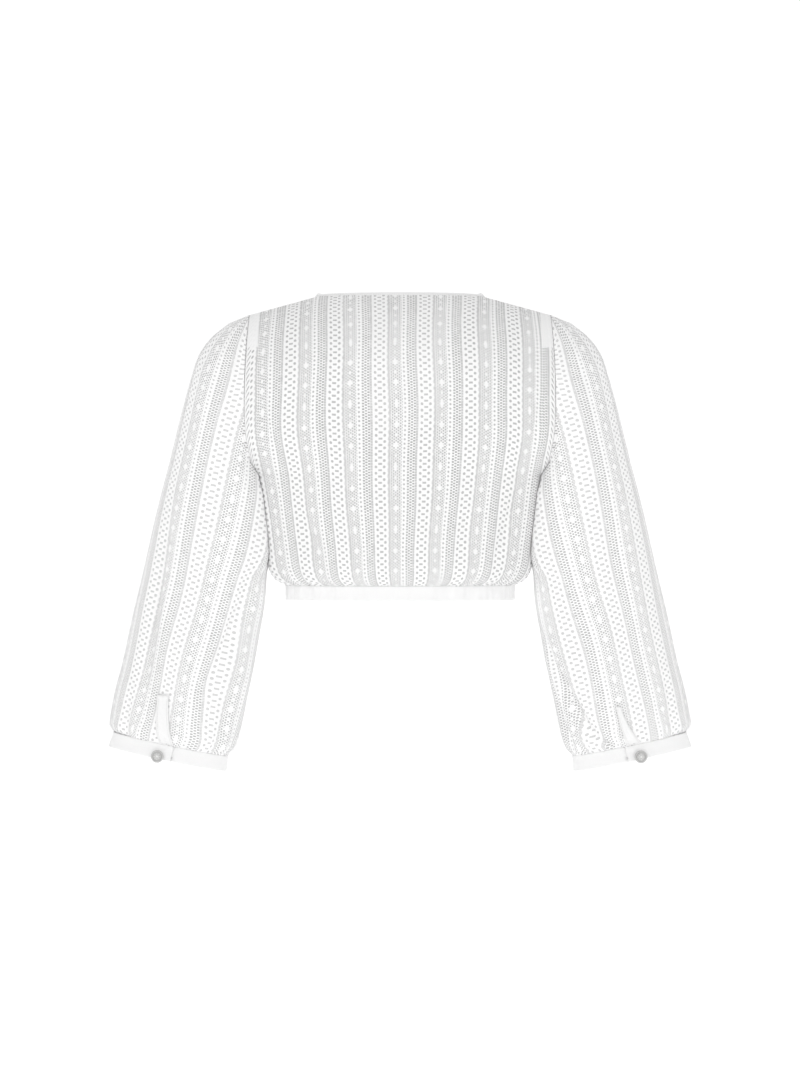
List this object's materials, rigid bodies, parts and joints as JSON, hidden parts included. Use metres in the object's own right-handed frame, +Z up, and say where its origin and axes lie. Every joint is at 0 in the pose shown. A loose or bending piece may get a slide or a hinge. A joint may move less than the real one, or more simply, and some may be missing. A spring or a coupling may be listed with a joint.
{
  "type": "dirndl blouse",
  "caption": "Cropped white openwork lace dirndl blouse, hollow as worn, with gathered three-quarter sleeves, buttoned cuffs, an elastic hem casing and a bound neck.",
  "frame": {"origin": "on the wearer's shoulder line, midway between the shoulders, where the blouse is held up", "axes": "+X to the wearer's right across the shoulders, +Y towards the wearer's front, +Z up"},
  "size_m": [0.6938, 0.2118, 0.5698],
  "materials": {
    "lace": "white cotton lace in stripes of eyelets, ladders, net and small diamonds",
    "cotton": "plain white cotton, finely woven, matt",
    "label": "blank white satin ribbon",
    "button": "antique silver-grey metal with a raised flower"
  },
  "bodies": {
    "root": {"back_panel": "lace", "front_panel": "lace", "sleeve_left": "lace", "sleeve_right": "lace", "neck_binding": "cotton", "hem_casing": "cotton", "armhole_tape_left": "cotton", "armhole_tape_right": "cotton", "neck_facing_left": "cotton", "neck_facing_right": "cotton", "slit_binding_left": "cotton", "slit_binding_right": "cotton", "cuff_left": "cotton", "cuff_right": "cotton", "label": "label", "button_left": "button", "button_right": "button"}
  },
  "joints": []
}
